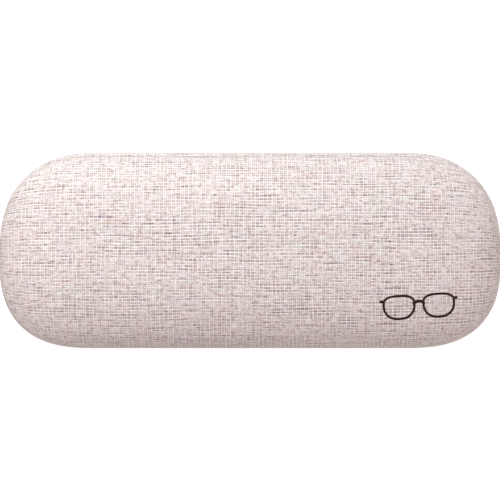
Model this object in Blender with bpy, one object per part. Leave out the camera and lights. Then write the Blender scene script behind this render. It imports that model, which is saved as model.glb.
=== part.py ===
"""Eyeglasses case: a hinged clamshell, pressed steel under woven cloth, lined with pile.

Frame: X along the length, Y across (hinge at +Y, opening at -Y), Z up, metres.
Origin: middle of the overall box, on the plane the base rests on.
Each half is a stack of even layers, all offset from one smooth outer skin.
"""
import math

import bmesh
import bpy
from mathutils import Matrix, Vector

MM = 0.001

# ---- driving dimensions, millimetres ---------------------------------------------------
LENGTH = 162.0
FRONT = 31.7            # front wall, distance from the origin
REAR = 30.95            # rear wall of both halves, without the cloth spine
APEX_Y = -2.5           # where the ends reach furthest out
REAR_CORNER = 31.8      # run of the rear corners along the length
FRONT_CORNER = 30.7
REAR_POWER = 2.5
FRONT_POWER = 2.6
RIDGE_Y = -0.4          # line the domes close on
RIDGE_X = 49.0
PART_Z = 18.2           # parting plane above the resting plane
RIM_GAP = 0.15          # each rim stands this far off the parting plane

# axis of the hinge, and the room the rear rims leave for the fold of the spine
AXIS_Y = 28.9
RIM_SLOPE = math.tan(math.radians(54.0))

# layer faces, measured inward from the outer skin
COVER = (0.0, 0.7)
PADDING = (0.95, 1.65)
SHELL = (1.9, 2.4)
HEM = (2.65, 3.25)
TRAY = (3.5, 4.1)
LINING = (4.35, 5.05)
SPINE = (-0.75, -0.25)

HEM_END = 7.1           # depth of the turned-in hem from the parting plane
SHELL_EDGE = 0.95       # shell and foam end this far below the cover's rim
TRAY_EDGE = 1.45
LINING_EDGE = 0.6
WINDOW_X = 44.8         # foam, tray and lining are cut back here to bare the hinge
WINDOW_Z = 8.0

LEAF_HALF = 44.0
LEAF_TOP = 7.3
KNUCKLE_R = 1.2
BORE_R = 0.6
PIN_R = 0.5
# knuckle and spring positions from the middle of the hinge outwards
BASE_KNUCKLES = ((4.8, 13.1), (32.0, 44.0))
LID_KNUCKLES = ((-4.5, 4.5), (21.7, 31.7))
SPRING_SPAN = (13.5, 21.3)
SPRING_R = 0.95
SPRING_WIRE = 0.25
SPRING_TURNS = 5
RIVET_X = (-36.0, -12.0, 12.0, 36.0)
RIVET_Z = 5.6
RIVET_R = 0.75
RIVET_HOLE = 0.95
SPINE_X = 66.0
SPINE_Z = 7.4

# each half: height of the dome, power of its profile, flat share, drop along the length
LID = {"height": 19.6, "power": 2.7, "flat": 0.0, "drop": 0.08, "sign": 1.0,
       "rings": (7.4, 12.8, 16.7, 18.9)}
BASE = {"height": 18.2, "power": 2.3, "flat": 0.55, "drop": 0.0, "sign": -1.0,
        "rings": (7.4, 12.8, 16.4, 18.2)}


# ---- outer skin ------------------------------------------------------------------------
def corner(cx, run, depth, power, turn):
    """Point on a quarter superellipse; turn counts quarter turns from +X."""
    quarter = int(turn)
    angle = (turn - quarter) * math.pi / 2
    c = max(math.cos(angle), 0.0) ** (2 / power)
    s = max(math.sin(angle), 0.0) ** (2 / power)
    pairs = ((c, s), (-s, c), (-c, -s), (s, -c))
    u, v = pairs[quarter % 4]
    return cx + run * u, APEX_Y + depth * v


def outline(q):
    """Widest contour, counter-clockwise from the middle of the rear wall, q in 0..7."""
    q = q % 7.0
    part = int(q)
    f = q - part
    rear_x = LENGTH / 2 - REAR_CORNER
    front_x = LENGTH / 2 - FRONT_CORNER
    rear_d = REAR - APEX_Y
    front_d = FRONT + APEX_Y
    if part == 0:
        return -rear_x * f, REAR
    if part == 1:
        return corner(-rear_x, REAR_CORNER, rear_d, REAR_POWER, 1 + f)
    if part == 2:
        return corner(-front_x, FRONT_CORNER, front_d, FRONT_POWER, 2 + f)
    if part == 3:
        return front_x * (2 * f - 1), -FRONT
    if part == 4:
        return corner(front_x, FRONT_CORNER, front_d, FRONT_POWER, 3 + f)
    if part == 5:
        return corner(rear_x, REAR_CORNER, rear_d, REAR_POWER, f)
    return rear_x * (1 - f), REAR


def skin_point(half, q, angle):
    """Outer skin of a half: angle 0 at the parting plane, pi/2 at the crown or bottom."""
    x, y = outline(q)
    cx = min(max(x, -RIDGE_X), RIDGE_X)
    k = 2 / half["power"]
    s = half["flat"] + (1 - half["flat"]) * max(math.cos(angle), 0.0) ** k
    px = cx + s * (x - cx)
    py = RIDGE_Y + s * (y - RIDGE_Y)
    drop = 1 - half["drop"] * (2 * px / LENGTH) ** 2
    return Vector((px, py, half["height"] * max(math.sin(angle), 0.0) ** k * drop))


def ring(half, q, height, inset):
    """Exact point at one of the ring heights, moved inward off the skin."""
    share = min(max(height / half["height"], 0.0), 1.0)
    angle = math.asin(share ** (half["power"] / 2))
    low = min(angle, math.pi / 2 - 0.004)
    along = skin_point(half, q + 0.004, low) - skin_point(half, q - 0.004, low)
    up = skin_point(half, q, low + 0.004) - skin_point(half, q, max(low - 0.004, 0.0))
    normal = along.cross(up).normalized()
    if share >= 1.0 and half["flat"] > 0:
        normal = Vector((0, 0, 1))
    p = skin_point(half, q, angle)
    if normal.dot(p - Vector((p.x * 0.5, RIDGE_Y, -10.0))) < 0:
        normal = -normal
    return p - inset * normal


def skin(half, q, height, inset):
    """Point at any height; layers run straight between the rings, so gaps stay even."""
    marks = (0.0,) + half["rings"]
    for low, high in zip(marks, marks[1:]):
        if height <= high:
            break
    a = ring(half, q, low, inset)
    b = ring(half, q, high, inset)
    return a + (b - a) * ((height - low) / (high - low))


def place(half, p):
    """Skin coordinates to the case's frame, metres."""
    return Vector((p.x, p.y, PART_Z + half["sign"] * p.z)) * MM


def rim_height(q):
    """Rim of a half above the parting plane; it rises behind the hinge axis."""
    y = outline(q)[1]
    return RIM_GAP + max(0.0, y - AXIS_Y) * RIM_SLOPE


def column_list():
    """Stations round the contour, closer together on the corners."""
    rear_x = LENGTH / 2 - REAR_CORNER
    steps = [0.0, 22.5]
    columns = [x / rear_x for x in steps]
    columns += [1 + k / 7 for k in range(7)]
    columns += [2 + k / 6 for k in range(6)]
    columns += [3.0, 3.5]
    columns += [4 + k / 6 for k in range(6)]
    columns += [5 + k / 7 for k in range(7)]
    columns += [6.0]
    columns += [7 - x / rear_x for x in reversed(steps[1:])]
    return columns


COLUMNS = column_list()


# ---- mesh helpers ----------------------------------------------------------------------
def material(name, colour, rough, metal=0.0):
    mat = bpy.data.materials.new(name)
    mat.use_nodes = True
    shader = mat.node_tree.nodes["Principled BSDF"]
    shader.inputs["Base Color"].default_value = (*colour, 1.0)
    shader.inputs["Roughness"].default_value = rough
    shader.inputs["Metallic"].default_value = metal
    return mat


def finish(name, bm, mat, pivot=None, smooth_deg=35.0):
    """Close a bmesh into a named object, its origin on the pivot when it moves."""
    bmesh.ops.remove_doubles(bm, verts=bm.verts, dist=0.00001)
    bmesh.ops.recalc_face_normals(bm, faces=bm.faces)
    origin = Vector((0, 0, 0)) if pivot is None else pivot.location.copy()
    bmesh.ops.translate(bm, verts=bm.verts, vec=-origin)
    mesh = bpy.data.meshes.new(name)
    bm.to_mesh(mesh)
    bm.free()
    for polygon in mesh.polygons:
        polygon.use_smooth = True
    mesh.set_sharp_from_angle(angle=math.radians(smooth_deg))
    if mat is not None:
        mesh.materials.append(mat)
    obj = bpy.data.objects.new(name, mesh)
    bpy.context.collection.objects.link(obj)
    if pivot is not None:
        obj.parent = pivot
    return obj


def carve(obj, tools, operation="DIFFERENCE"):
    """Apply exact booleans and drop the tool objects."""
    bpy.context.view_layer.update()
    for tool in tools:
        modifier = obj.modifiers.new("cut", "BOOLEAN")
        modifier.operation = operation
        modifier.solver = "EXACT"
        modifier.object = tool
        tool.hide_render = True
        tool.display_type = "WIRE"
    bpy.context.view_layer.update()
    graph = bpy.context.evaluated_depsgraph_get()
    mesh = bpy.data.meshes.new_from_object(obj.evaluated_get(graph))
    obj.modifiers.clear()
    obj.data = mesh
    mesh.name = obj.name
    for tool in tools:
        bpy.data.objects.remove(tool)
    bm = bmesh.new()
    bm.from_mesh(mesh)
    bmesh.ops.remove_doubles(bm, verts=bm.verts, dist=0.00001)
    bmesh.ops.dissolve_degenerate(bm, dist=0.000005, edges=bm.edges)
    bmesh.ops.recalc_face_normals(bm, faces=bm.faces)
    bm.to_mesh(mesh)
    bm.free()
    mesh.set_sharp_from_angle(angle=math.radians(35.0))


def prism(bm, points, x0, x1):
    """Extrude a (y, z) outline in millimetres along X."""
    ends = []
    for x in (x0, x1):
        ends.append([bm.verts.new(Vector((x, y, z)) * MM) for y, z in points])
    count = len(points)
    bm.faces.new(ends[0])
    bm.faces.new(list(reversed(ends[1])))
    for i in range(count):
        j = (i + 1) % count
        bm.faces.new((ends[0][i], ends[0][j], ends[1][j], ends[1][i]))


def ring_points(cy, cz, radius, count, start=0.0):
    points = []
    for i in range(count):
        a = start + 2 * math.pi * i / count
        points.append((cy + radius * math.cos(a), cz + radius * math.sin(a)))
    return points


def lathe(bm, profile, frame, count):
    """Revolve (radius, height) pairs about the frame's Z; both ends close on the axis."""
    rows = []
    for radius, height in profile:
        row = []
        for i in range(count):
            a = 2 * math.pi * i / count
            local = Vector((radius * math.cos(a), radius * math.sin(a), height))
            row.append(bm.verts.new(frame @ local * MM))
        rows.append(row)
    for a, b in zip(rows, rows[1:]):
        for i in range(count):
            j = (i + 1) % count
            bm.faces.new((a[i], a[j], b[j], b[i]))
    bm.faces.new(list(reversed(rows[0])))
    bm.faces.new(rows[-1])


# ---- the layers of each half -----------------------------------------------------------
def trim(obj, half, x, y0, y1, depth):
    """Cut a layer back from the rim, a given depth, along the hinge."""
    cut = bmesh.new()
    z0 = PART_Z - half["sign"] * 0.5
    z1 = PART_Z + half["sign"] * depth
    prism(cut, [(y0, z0), (y1, z0), (y1, z1), (y0, z1)], -x, x)
    carve(obj, [finish("cut_rim", cut, None)])


def layer(name, half, faces, edge, mat, pivot):
    """One closed layer. edge lists (inset, height) from outer to inner face at the rim."""
    bm = bmesh.new()
    loops = []
    for q in COLUMNS:
        rim = rim_height(q)
        rings = half["rings"]
        profile = [skin(half, q, z, faces[0]) for z in reversed(rings)]
        profile += [skin(half, q, deep(rim), inset) for inset, deep in edge]
        profile += [skin(half, q, z, faces[1]) for z in rings]
        loops.append([bm.verts.new(place(half, p)) for p in profile])
    count = len(COLUMNS)
    for i in range(count):
        a, b = loops[i], loops[(i + 1) % count]
        for k in range(len(a) - 1):
            bm.faces.new((a[k], a[k + 1], b[k + 1], b[k]))
    for k, inset in ((0, faces[0]), (-1, faces[1])):
        top = [loop[k] for loop in loops]
        if half["flat"] > 0:
            bm.faces.new(top)
        else:
            close_crown(bm, half, top, inset)
    return finish(name, bm, mat, pivot)


def close_crown(bm, half, top, inset):
    """Close the top ring of the lid on three points of its ridge."""
    ridge = []
    for x in (-RIDGE_X, 0.0, RIDGE_X):
        drop = 1 - half["drop"] * (2 * x / LENGTH) ** 2
        p = Vector((x, RIDGE_Y, half["height"] * drop - inset))
        ridge.append(bm.verts.new(place(half, p)))

    def nearest(q):
        x = outline(q)[0]
        if abs(x) < RIDGE_X / 2:
            return ridge[1]
        return ridge[0] if x < 0 else ridge[2]

    count = len(COLUMNS)
    for i in range(count):
        j = (i + 1) % count
        a, b = nearest(COLUMNS[i]), nearest(COLUMNS[j])
        if a is b:
            bm.faces.new((top[i], top[j], a))
        else:
            bm.faces.new((top[i], top[j], b, a))


def offset(amount):
    """Height a fixed distance above the rim."""
    return lambda rim: rim + amount


def fixed(height):
    return lambda rim: height


def build_half(prefix, half, mats, pivot):
    cover_edge = [(COVER[0], offset(0.3)), (COVER[0] + 0.3, offset(0.0)),
                  (HEM[1], offset(0.0)), (HEM[1], fixed(HEM_END)),
                  (HEM[0], fixed(HEM_END)), (HEM[0], offset(0.7)),
                  (COVER[1], offset(0.7))]
    cover = layer(prefix + "_cover", half, COVER, cover_edge, mats["linen"], pivot)
    # the hem is trimmed away where the hinge leaf lies on the shell
    trim(cover, half, WINDOW_X - 0.3, REAR - 8.0, REAR - SHELL[1], HEM_END + 1.0)

    foam_edge = [(PADDING[0], offset(SHELL_EDGE)), (PADDING[1], offset(SHELL_EDGE))]
    foam = layer(prefix + "_padding", half, PADDING, foam_edge, mats["foam"], pivot)

    shell_edge = [(SHELL[0], offset(SHELL_EDGE)), (SHELL[1], offset(SHELL_EDGE))]
    shell = layer(prefix + "_shell", half, SHELL, shell_edge, mats["steel"], pivot)
    holes = []
    for x in RIVET_X:
        bore = bmesh.new()
        lathe(bore, [(RIVET_HOLE, -2.6), (RIVET_HOLE, 2.6)], rivet_frame(half, x), 12)
        holes.append(finish("cut_hole", bore, None))
    carve(shell, holes)

    tray_edge = [(TRAY[0], offset(TRAY_EDGE)), (TRAY[1], offset(TRAY_EDGE))]
    tray = layer(prefix + "_liner_tray", half, TRAY, tray_edge, mats["tray"], pivot)

    pile_edge = [(LINING[0], offset(LINING_EDGE + 0.6)), (TRAY[0], offset(LINING_EDGE + 0.6)),
                 (TRAY[0], offset(LINING_EDGE)), (LINING[1], offset(LINING_EDGE))]
    pile = layer(prefix + "_lining", half, LINING, pile_edge, mats["pile"], pivot)
    for obj in (foam, tray, pile):
        trim(obj, half, WINDOW_X, REAR - 12.0, REAR + 1.0, WINDOW_Z)


# ---- the hinge -------------------------------------------------------------------------
def wall(half, height, inset):
    """Rear wall in (y, z) at the middle of the length, in the case's frame."""
    p = skin(half, 0.0, height, inset)
    return p.y, PART_Z + half["sign"] * p.z


def rivet_frame(half, x):
    """Axes of a rivet: its Z points outward through the shell, square to the wall."""
    y, z = wall(half, RIVET_Z, SHELL[1])
    low = wall(half, 4.5, SHELL[1])
    high = wall(half, 7.0, SHELL[1])
    up = Vector((0, high[0] - low[0], high[1] - low[1])).normalized()
    out = Vector((1, 0, 0)).cross(up)
    if out.y < 0:
        out = -out
    side = up.cross(out)
    turn = Matrix((side, up, out)).transposed().to_4x4()
    return Matrix.Translation(Vector((x, y, z))) @ turn


def mirrored(spans):
    """Spans given outward from the middle, both ways; a span over the middle once."""
    result = []
    for a, b in spans:
        result.append((a, b))
        if a > 0:
            result.append((-b, -a))
    return sorted(result)


def leaf(name, half, spans, mat, pivot):
    """Bent plate on the shell's inner face, with its row of knuckles."""
    sign = half["sign"]
    clear = KNUCKLE_R + 0.4
    bend = 3.2
    y_out = REAR - HEM[0]
    y_in = REAR - HEM[1]
    top_out = wall(half, LEAF_TOP, HEM[0])
    top_in = wall(half, LEAF_TOP, HEM[1])
    bend_out = wall(half, bend, HEM[0])
    bend_in = wall(half, bend, HEM[1])
    z_low = PART_Z + sign * clear
    profile = [(y_in, z_low), (bend_in[0], bend_in[1]), top_in, top_out,
               (bend_out[0], bend_out[1]), (y_out, z_low)]
    bm = bmesh.new()
    prism(bm, profile, -LEAF_HALF, LEAF_HALF)
    plate = finish(name, bm, mat, pivot)
    holes = []
    for x in RIVET_X:
        bore = bmesh.new()
        lathe(bore, [(RIVET_HOLE, -2.6), (RIVET_HOLE, 2.6)], rivet_frame(half, x), 12)
        holes.append(finish("cut_hole", bore, None))
    carve(plate, holes)
    knuckles = []
    for x0, x1 in mirrored(spans):
        tab = bmesh.new()
        z_tab = PART_Z + sign * (clear + 0.5)
        prism(tab, [(y_in, PART_Z), (y_in, z_tab), (y_out, z_tab), (y_out, PART_Z)],
              x0, x1)
        knuckles.append(finish("tab", tab, None))
        tube = bmesh.new()
        prism(tube, ring_points(AXIS_Y, PART_Z, KNUCKLE_R, 16, math.pi / 16), x0, x1)
        knuckles.append(finish("tube", tube, None))
    carve(plate, knuckles, "UNION")
    bore = bmesh.new()
    prism(bore, ring_points(AXIS_Y, PART_Z, BORE_R, 12), -LEAF_HALF - 1, LEAF_HALF + 1)
    carve(plate, [finish("bore", bore, None)])


def rivets(prefix, half, mat, pivot):
    """Four rivets: a low domed head inside the case, a flat tail under the cloth."""
    inner = SHELL[1] - HEM[1] - 0.06
    outer = SHELL[1] - SHELL[0] + 0.06
    profile = [(0.5, inner - 0.45), (1.05, inner - 0.33), (1.4, inner), (RIVET_R, inner),
               (RIVET_R, outer), (1.3, outer), (1.2, outer + 0.35)]
    for i, x in enumerate(RIVET_X):
        bm = bmesh.new()
        lathe(bm, profile, rivet_frame(half, x), 12)
        finish(prefix + "_rivet_%d" % (i + 1), bm, mat, pivot)


def pin(mat):
    """Pin through all knuckles, its two ends peened over."""
    turn = Matrix.Rotation(math.pi / 2, 4, "Y")
    frame = Matrix.Translation(Vector((0, AXIS_Y, PART_Z))) @ turn
    end = LEAF_HALF + 0.15
    profile = [(0.55, -end - 0.5), (0.95, -end - 0.35), (0.95, -end), (PIN_R, -end),
               (PIN_R, end), (0.95, end), (0.95, end + 0.35), (0.55, end + 0.5)]
    bm = bmesh.new()
    lathe(bm, profile, frame, 12)
    finish("hinge_pin", bm, mat)


def spring(name, side, mat):
    """Torsion spring round the pin: one leg on each leaf."""
    inside = REAR - HEM[1] - SPRING_WIRE - 0.1
    path = []
    x0 = SPRING_SPAN[0] + SPRING_WIRE + 0.1
    x1 = SPRING_SPAN[1] - SPRING_WIRE - 0.1
    for half, x in ((BASE, x0), (LID, x1)):
        leg = []
        for height in (6.2, 4.0, 2.0):
            y = min(wall(half, max(height, 3.6), HEM[1])[0] - SPRING_WIRE - 0.12, inside)
            leg.append(Vector((side * x, y, PART_Z + half["sign"] * height)))
        if half is BASE:
            path += leg
            steps = SPRING_TURNS * 10
            for i in range(1, steps):
                turn = math.pi + 2 * math.pi * SPRING_TURNS * i / steps
                px = x0 + (x1 - x0) * i / steps
                path.append(Vector((side * px, AXIS_Y + SPRING_R * math.cos(turn),
                                    PART_Z - SPRING_R * math.sin(turn))))
        else:
            path += list(reversed(leg))
    bm = bmesh.new()
    sweep(bm, path, SPRING_WIRE, 6)
    finish(name, bm, mat)


def sweep(bm, path, radius, count):
    """Round wire along a path of points in millimetres."""
    rows = []
    reference = Vector((1, 0, 0))
    for i, p in enumerate(path):
        before = path[max(i - 1, 0)]
        after = path[min(i + 1, len(path) - 1)]
        tangent = (after - before).normalized()
        across = (reference - tangent * reference.dot(tangent)).normalized()
        other = tangent.cross(across)
        row = []
        for k in range(count):
            a = 2 * math.pi * k / count
            point = p + radius * (math.cos(a) * across + math.sin(a) * other)
            row.append(bm.verts.new(point * MM))
        rows.append(row)
    for a, b in zip(rows, rows[1:]):
        for k in range(count):
            j = (k + 1) % count
            bm.faces.new((a[k], a[j], b[j], b[k]))
    bm.faces.new(list(reversed(rows[0])))
    bm.faces.new(rows[-1])


def spine(mat):
    """Cloth strip over the outside of the hinge gap, glued to both covers."""
    columns = [q for q in COLUMNS if outline(q)[1] > 0 and abs(outline(q)[0]) < SPINE_X]
    stations = [q for q in columns if q > 3.5] + [q for q in columns if q <= 3.5]
    heights = [-SPINE_Z, -3.2, 0.0, 3.2, SPINE_Z]
    bm = bmesh.new()
    loops = []
    for q in stations:
        loop = []
        for inset, order in ((SPINE[0], heights), (SPINE[1], list(reversed(heights)))):
            for z in order:
                half = LID if z > 0 else BASE
                loop.append(bm.verts.new(place(half, skin(half, q, abs(z), inset))))
        loops.append(loop)
    size = len(loops[0])
    for a, b in zip(loops, loops[1:]):
        for k in range(size):
            j = (k + 1) % size
            bm.faces.new((a[k], a[j], b[j], b[k]))
    for loop in (list(reversed(loops[0])), loops[-1]):
        for k in range(size // 2 - 1):
            bm.faces.new((loop[k], loop[k + 1], loop[size - 2 - k], loop[size - 1 - k]))
    finish("hinge_spine", bm, mat)


# ---- build -----------------------------------------------------------------------------
def main():
    for obj in list(bpy.data.objects):
        bpy.data.objects.remove(obj)
    materials = {
        "linen": material("linen", (0.72, 0.63, 0.60), 0.95),
        "foam": material("foam", (0.80, 0.78, 0.72), 0.9),
        "steel": material("shell_steel", (0.55, 0.55, 0.56), 0.4, 1.0),
        "tray": material("tray_plastic", (0.25, 0.22, 0.21), 0.6),
        "pile": material("pile", (0.36, 0.29, 0.27), 1.0),
        "hinge": material("hinge_steel", (0.68, 0.67, 0.66), 0.3, 1.0),
        "rivet": material("rivet_steel", (0.74, 0.73, 0.71), 0.28, 1.0),
        "pin": material("pin_steel", (0.62, 0.62, 0.62), 0.25, 1.0),
        "spring": material("spring_steel", (0.45, 0.45, 0.47), 0.3, 1.0),
        "spine": material("spine_linen", (0.70, 0.61, 0.58), 0.95),
    }
    pivot = bpy.data.objects.new("lid_pivot", None)
    bpy.context.collection.objects.link(pivot)
    pivot.location = Vector((0, AXIS_Y, PART_Z)) * MM
    bpy.context.view_layer.update()
    build_half("base", BASE, materials, None)
    build_half("lid", LID, materials, pivot)
    leaf("hinge_base_leaf", BASE, BASE_KNUCKLES, materials["hinge"], None)
    leaf("hinge_lid_leaf", LID, LID_KNUCKLES, materials["hinge"], pivot)
    pin(materials["pin"])
    spring("hinge_spring_left", -1, materials["spring"])
    spring("hinge_spring_right", 1, materials["spring"])
    rivets("hinge_base", BASE, materials["rivet"], None)
    rivets("hinge_lid", LID, materials["rivet"], pivot)
    spine(materials["spine"])
    bpy.context.view_layer.update()


main()
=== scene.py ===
import math

import bmesh
import bpy
import numpy as np
from mathutils import Matrix, Vector
from mathutils.bvhtree import BVHTree


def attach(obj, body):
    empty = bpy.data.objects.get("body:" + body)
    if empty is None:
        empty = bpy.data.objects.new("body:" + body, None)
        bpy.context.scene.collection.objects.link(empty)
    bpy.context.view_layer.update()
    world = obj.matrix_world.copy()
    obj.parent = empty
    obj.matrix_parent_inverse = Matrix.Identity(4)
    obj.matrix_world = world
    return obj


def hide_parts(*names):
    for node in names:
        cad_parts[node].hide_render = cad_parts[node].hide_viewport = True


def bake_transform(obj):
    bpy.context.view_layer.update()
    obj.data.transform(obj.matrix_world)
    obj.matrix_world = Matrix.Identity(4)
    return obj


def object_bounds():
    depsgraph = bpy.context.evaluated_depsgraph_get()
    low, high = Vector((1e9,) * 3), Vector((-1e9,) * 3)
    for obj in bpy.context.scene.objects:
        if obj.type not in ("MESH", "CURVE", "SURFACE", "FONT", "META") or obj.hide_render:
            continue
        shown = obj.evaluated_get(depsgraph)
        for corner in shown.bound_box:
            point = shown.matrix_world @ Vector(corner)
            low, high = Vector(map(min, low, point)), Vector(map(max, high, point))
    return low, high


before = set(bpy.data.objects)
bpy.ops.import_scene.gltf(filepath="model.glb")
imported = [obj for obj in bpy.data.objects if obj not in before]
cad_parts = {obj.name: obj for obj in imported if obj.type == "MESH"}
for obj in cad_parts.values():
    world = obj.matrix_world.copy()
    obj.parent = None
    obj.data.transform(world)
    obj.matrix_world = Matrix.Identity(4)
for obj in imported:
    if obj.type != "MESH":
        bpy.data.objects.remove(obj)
CAD_BOX = [list(c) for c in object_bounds()]
MM = 0.001

# ---- the case's own dimensions, millimetres (the same ones the solids are built from) ----
LENGTH = 162.0
FRONT = 31.7
REAR = 30.95
APEX_Y = -2.5
REAR_CORNER = 31.8
FRONT_CORNER = 30.7
REAR_POWER = 2.5
FRONT_POWER = 2.6
RIDGE_Y = -0.4
RIDGE_X = 49.0
PART_Z = 18.2
AXIS_Y = 28.9
RIM_GAP = 0.13
RIM_SLOPE = math.tan(math.radians(54.0))
HEM_END = 7.0
WINDOW_X = 44.8
LID = {"height": 19.6, "power": 2.7, "flat": 0.0, "drop": 0.08, "sign": 1.0}
BASE = {"height": 18.2, "power": 2.3, "flat": 0.55, "drop": 0.0, "sign": -1.0}

# Depths of each layer's outer and inner face below the skin.
CLOTH_LAYER = (0.0, 0.7)
FOAM_LAYER = (0.75, 1.8)
SHELL_LAYER = (1.9, 2.4)
TRAY_LAYER = (3.5, 4.1)
PILE_LAYER = (4.35, 5.05)
PILE_LIP = 3.5
LEAF_FACE = 3.25

# How far above the cloth's rim each layer's own rim stands.
FOAM_EDGE = 0.9
SHELL_EDGE = 0.95
TRAY_EDGE = 1.45
PILE_EDGE = 0.55
# Behind the hinge leaves the foam, the tray and the pile stop at these heights.
WINDOW_TOP = 8.0
PILE_WINDOW_TOP = 7.3

# The cloth rolls over the rim, runs inward and turns up as a hem against the shell.
ROLL = 0.5
HEM_FOLD = 0.3
HEM_CLEAR = 0.02
HEM_FACE = 3.25
HEM_BACK = 2.65
# the same behind the hinge leaves, where the hem is cut short
CUT_HEM_FACE = 2.4
CUT_HEM_BACK = 2.32
CUT_HEM_END = 0.74
# fine gathers round the two ends
PLEAT_SIZE = 0.035
PLEAT_PITCH = 2.6

# Steps used when the skin is sampled.
NUDGE = 0.002
POLE = 0.01
PROFILE = np.linspace(0, 1.35, 160)
COLUMN_STEP = 1.35
INNER_COLUMNS = 62


# ---- the smooth outer skin ---------------------------------------------------------------
def contour(q):
    """Widest contour as arrays, counter-clockwise from the middle of the rear, q in 0..7."""
    q = np.mod(np.asarray(q, float), 7.0)
    part = q.astype(int)
    f = q - part
    rear_x = LENGTH / 2 - REAR_CORNER
    front_x = LENGTH / 2 - FRONT_CORNER
    rear_d = REAR - APEX_Y
    front_d = FRONT + APEX_Y
    x = np.zeros_like(q)
    y = np.zeros_like(q)

    def corner(mask, cx, run, depth, power, quarter):
        a = f[mask] * np.pi / 2
        c = np.clip(np.cos(a), 0, 1) ** (2 / power)
        s = np.clip(np.sin(a), 0, 1) ** (2 / power)
        u, v = ((c, s), (-s, c), (-c, -s), (s, -c))[quarter]
        x[mask] = cx + run * u
        y[mask] = APEX_Y + depth * v

    m = part == 0
    x[m], y[m] = -rear_x * f[m], REAR
    corner(part == 1, -rear_x, REAR_CORNER, rear_d, REAR_POWER, 1)
    corner(part == 2, -front_x, FRONT_CORNER, front_d, FRONT_POWER, 2)
    m = part == 3
    x[m], y[m] = front_x * (2 * f[m] - 1), -FRONT
    corner(part == 4, front_x, FRONT_CORNER, front_d, FRONT_POWER, 3)
    corner(part == 5, rear_x, REAR_CORNER, rear_d, REAR_POWER, 0)
    m = part == 6
    x[m], y[m] = rear_x * (1 - f[m]), REAR
    return x, y


def skin_point(half, q, a):
    """Points on the skin; a beyond pi/2 walks over the flat bottom to the ridge."""
    x, y = contour(q)
    cx = np.clip(x, -RIDGE_X, RIDGE_X)
    k = 2 / half["power"]
    b = np.minimum(a, np.pi / 2)
    over = np.clip(a - np.pi / 2, 0, 1)
    s = half["flat"] + (1 - half["flat"]) * np.clip(np.cos(b), 0, 1) ** k
    s = np.where(a >= np.pi / 2, half["flat"] * (1 - over), s)
    px = cx + s * (x - cx)
    py = RIDGE_Y + s * (y - RIDGE_Y)
    drop = 1 - half["drop"] * (2 * px / LENGTH) ** 2
    pz = half["height"] * np.clip(np.sin(b), 0, 1) ** k * drop
    return np.stack([px, py, pz], -1)


def skin(half, q, a, inset):
    """Skin points moved inward by inset."""
    q, a, inset = np.broadcast_arrays(*(np.asarray(v, float) for v in (q, a, inset)))
    low = np.minimum(a, np.pi / 2 - POLE)
    along = skin_point(half, q + NUDGE, low) - skin_point(half, q - NUDGE, low)
    up = skin_point(half, q, low + NUDGE) - skin_point(half, q, np.maximum(low - NUDGE, 0))
    n = np.cross(along, up)
    n /= np.maximum(np.linalg.norm(n, axis=-1, keepdims=True), 1e-12)
    p = skin_point(half, q, a)
    outward = p - np.stack([p[..., 0] * 0.5, np.full_like(a, RIDGE_Y),
                            np.full_like(a, -10.0)], -1)
    n *= np.where((n * outward).sum(-1, keepdims=True) < 0, -1.0, 1.0)
    n[a >= np.pi / 2 - POLE] = (0, 0, 1)
    return p - inset[..., None] * n


def at_height(half, q, z, inset):
    """Points of the layer at inset whose height above the parting plane is z."""
    q, z, inset = (np.atleast_1d(v).astype(float) for v in np.broadcast_arrays(q, z, inset))
    table = skin(half, q[:, None], PROFILE[None, :], inset[:, None])
    out = np.zeros((len(q), 3))
    for i in range(len(q)):
        height = table[i, :, 2]
        for c in range(2):
            out[i, c] = np.interp(z[i], height, table[i, :, c])
    out[:, 2] = z
    return out


def angle_at(half, q, z, inset):
    """Profile angle at which the layer at inset reaches height z."""
    table = skin(half, q[:, None], PROFILE[None, :], np.full((len(q), 1), inset))
    return np.array([np.interp(z[i], table[i, :, 2], PROFILE) for i in range(len(q))])


def stations():
    """Column parameters; the straight parts share their x on the front and the rear."""
    rear_x = LENGTH / 2 - REAR_CORNER
    front_x = LENGTH / 2 - FRONT_CORNER
    inner = list(np.linspace(-WINDOW_X + 0.6, WINDOW_X - 0.6, INNER_COLUMNS))
    beside = (WINDOW_X, WINDOW_X + 0.5, 46.6, 48.0, RIDGE_X)
    xs = sorted(inner + [side * v for side in (-1, 1) for v in beside])
    rear = [(-x / rear_x) % 7.0 if x <= 0 else 7 - x / rear_x for x in xs]
    front = [3 + (x / front_x + 1) / 2 for x in xs]
    dense = np.linspace(0, 7, 14001)
    x, y = contour(dense)
    run = np.concatenate([[0], np.cumsum(np.hypot(np.diff(x), np.diff(y)))])
    ends = []
    for q0, q1 in ((RIDGE_X / rear_x, front[0]), (front[-1], 7 - RIDGE_X / rear_x)):
        r0, r1 = np.interp([q0, q1], dense, run)
        count = int((r1 - r0) / COLUMN_STEP)
        lengths = np.linspace(r0, r1, count + 1)[1:-1]
        ends.append(list(np.interp(lengths, run, dense)))
    left_rear = sorted(q for q in rear if q < 3.5)
    right_rear = sorted(q for q in rear if q > 3.5)
    return np.array(left_rear + ends[0] + front + ends[1] + right_rear)


Q = stations()
QX, QY = contour(Q)
RUN = np.concatenate([[0], np.cumsum(np.hypot(np.diff(QX), np.diff(QY)))])
REAR_SIDE = QY > 20


def rim_of(q):
    """Rim height above the parting plane; it climbs behind the hinge axis."""
    d = contour(q)[1] - AXIS_Y
    return RIM_GAP + RIM_SLOPE * (np.sqrt(d * d + 0.04) + d) / 2


RIM = rim_of(Q)
WINDOW = REAR_SIDE & (np.abs(QX) < WINDOW_X + 0.1)
HEM_CUT = REAR_SIDE & (np.abs(QX) < WINDOW_X - 0.4)
# 0 along the straight sides, 1 round the two ends
ENDS = np.clip((np.abs(QX) - 50) / 8, 0, 1)


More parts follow.
